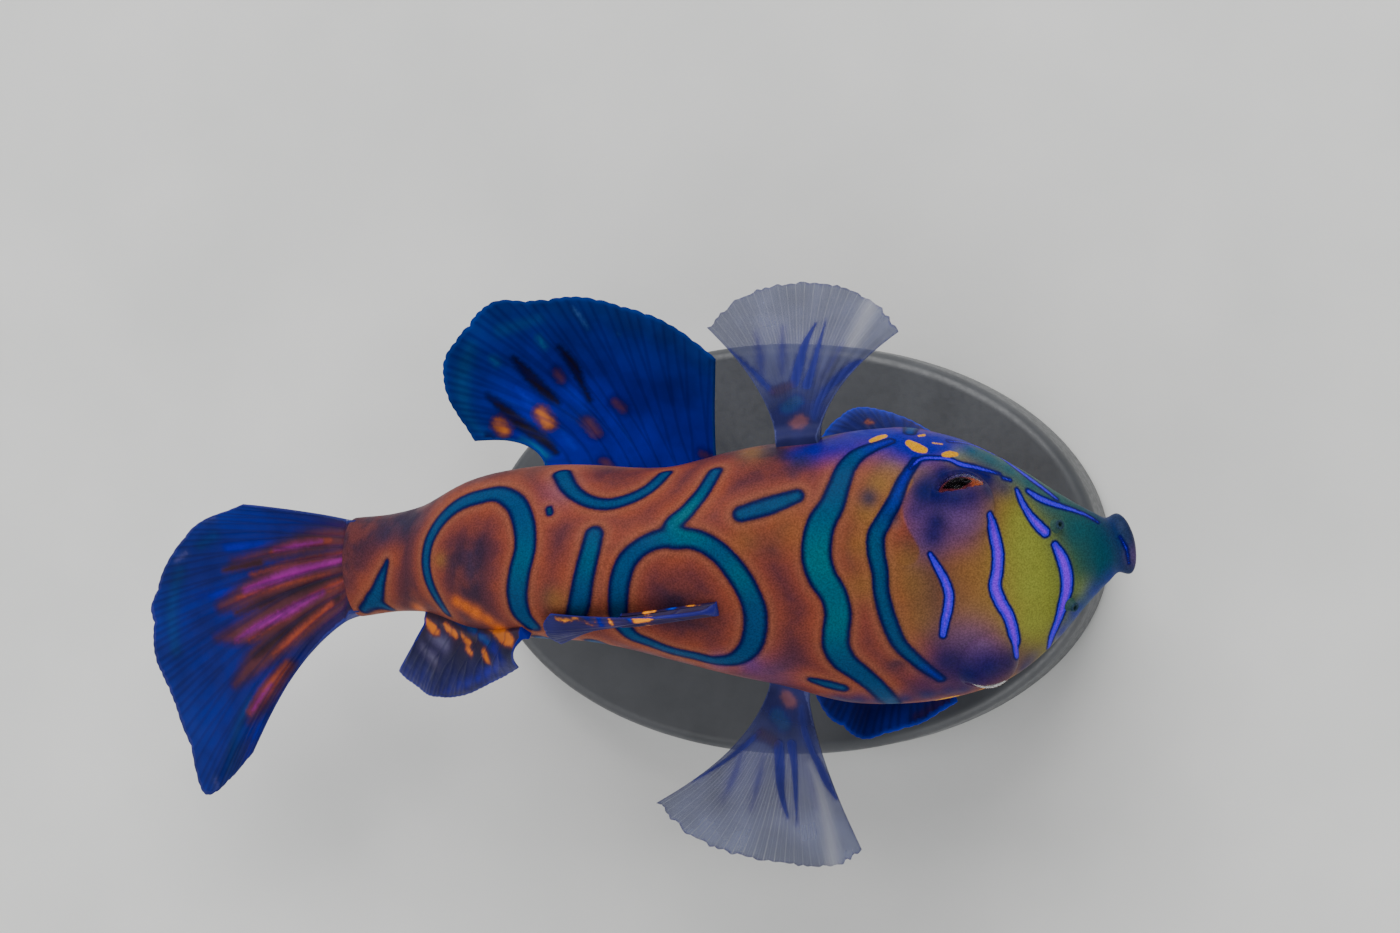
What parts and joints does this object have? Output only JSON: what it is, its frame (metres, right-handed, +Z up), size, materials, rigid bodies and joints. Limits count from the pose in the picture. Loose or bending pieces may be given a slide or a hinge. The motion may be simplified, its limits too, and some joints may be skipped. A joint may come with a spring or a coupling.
{
  "type": "mandarinfish display model",
  "caption": "Mandarinfish as a still, life-size model, turning on its side with its fins spread, held over a plain oval base by a rod.",
  "frame": {"origin": "centre of the stand base's underside", "axes": "+X towards the fish's snout along the longest extent, +Y to the fish's left, +Z up"},
  "size_m": [0.0671, 0.0366, 0.0295],
  "materials": {
    "skin": "smooth scaleless skin, orange-brown with blue-green winding bands, softly glossy",
    "fin": "thin rayed fin, deep blue with orange and violet marks",
    "clear_fin": "thin clear grey-blue fin with fine rays",
    "eye": "wet and clear, orange ring round a dark pupil",
    "stand_plate": "light satin plate with eased edges",
    "stand_metal": "fine brushed round bar"
  },
  "bodies": {
    "root": {"head": "skin", "trunk": "skin", "tail_stalk": "skin", "eye_left": "eye", "eye_right": "eye", "dorsal_fin_first": "fin", "dorsal_fin_second": "fin", "anal_fin": "fin", "caudal_fin": "fin", "pectoral_fin_left": "clear_fin", "pectoral_fin_right": "clear_fin", "pelvic_fin_left": "fin", "pelvic_fin_right": "fin", "stand_base": "stand_plate", "stand_rod": "stand_metal"}
  },
  "joints": []
}
